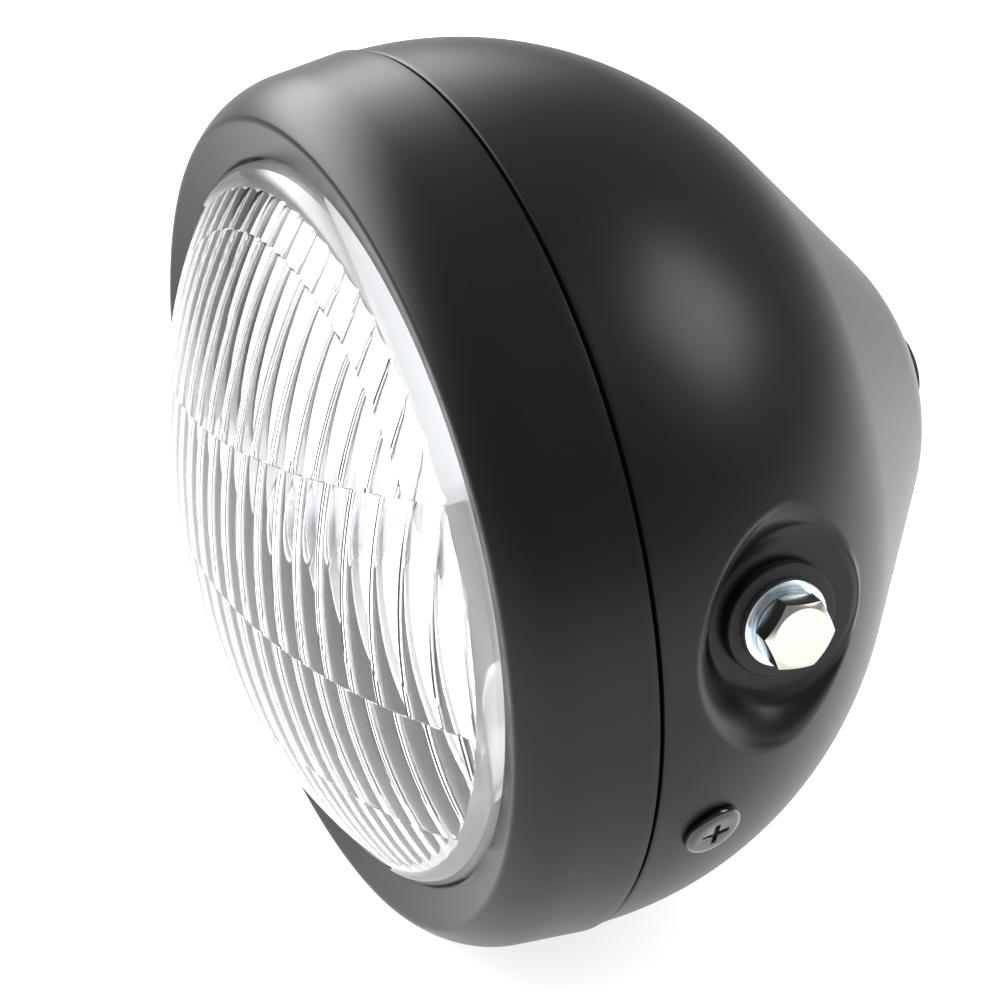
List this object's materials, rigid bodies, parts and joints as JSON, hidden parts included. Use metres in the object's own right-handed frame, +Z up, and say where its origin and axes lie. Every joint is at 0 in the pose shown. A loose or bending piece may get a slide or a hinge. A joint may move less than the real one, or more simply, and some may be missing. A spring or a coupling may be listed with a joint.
{
  "type": "motorcycle headlight",
  "caption": "Round motorcycle headlight: dished black steel bucket, rolled bezel, fluted glass lens over a mirror reflector, side bolts for a bracket.",
  "frame": {"origin": "crossing of the lamp's own axis and the line through the two side bolts", "axes": "+X towards the right-hand side bolt, the beam leaves towards -Y, +Z up"},
  "size_m": [0.18, 0.1549, 0.18],
  "materials": {
    "black_paint": "semi-matt black powder coat over pressed steel",
    "lens_glass": "clear pressed glass with moulded vertical flutes",
    "bulb_glass": "clear quartz",
    "mirror": "vacuum-aluminised bright coating",
    "tungsten": "drawn tungsten wire",
    "bulb_metal": "plain stamped steel",
    "blade_brass": "plain brass blades",
    "spring_wire": "drawn spring wire",
    "black_rubber": "moulded black rubber",
    "bolt_zinc": "bright zinc with a machined face",
    "washer_zinc": "blue-passivated zinc",
    "plain_steel": "zinc-plated sheet steel",
    "black_screw": "glossy black"
  },
  "bodies": {
    "root": {"bucket_shell": "black_paint", "rim_bezel": "black_paint", "lens_glass": "lens_glass", "lens_seal": "black_rubber", "reflector": "mirror", "retaining_ring": "plain_steel", "ring_brackets": "plain_steel", "ring_screws": "plain_steel", "bulb_envelope": "bulb_glass", "bulb_shield": "bulb_metal", "bulb_filaments": "tungsten", "bulb_base": "bulb_metal", "bulb_terminals": "blade_brass", "bulb_spring_clip": "spring_wire", "dust_boot": "black_rubber", "side_bolt_right": "bolt_zinc", "side_bolt_left": "bolt_zinc", "lock_washer_right": "washer_zinc", "lock_washer_left": "washer_zinc", "flat_washer_right": "washer_zinc", "flat_washer_left": "washer_zinc", "rubber_spacer_right": "black_rubber", "rubber_spacer_left": "black_rubber", "doubler_plate_right": "plain_steel", "doubler_plate_left": "plain_steel", "weld_nut_right": "plain_steel", "weld_nut_left": "plain_steel", "rim_screw_right": "black_screw", "rim_screw_left": "black_screw", "rim_tab_right": "plain_steel", "rim_tab_left": "plain_steel", "rim_nut_right": "plain_steel", "rim_nut_left": "plain_steel", "cable_grommet": "black_rubber"}
  },
  "joints": []
}
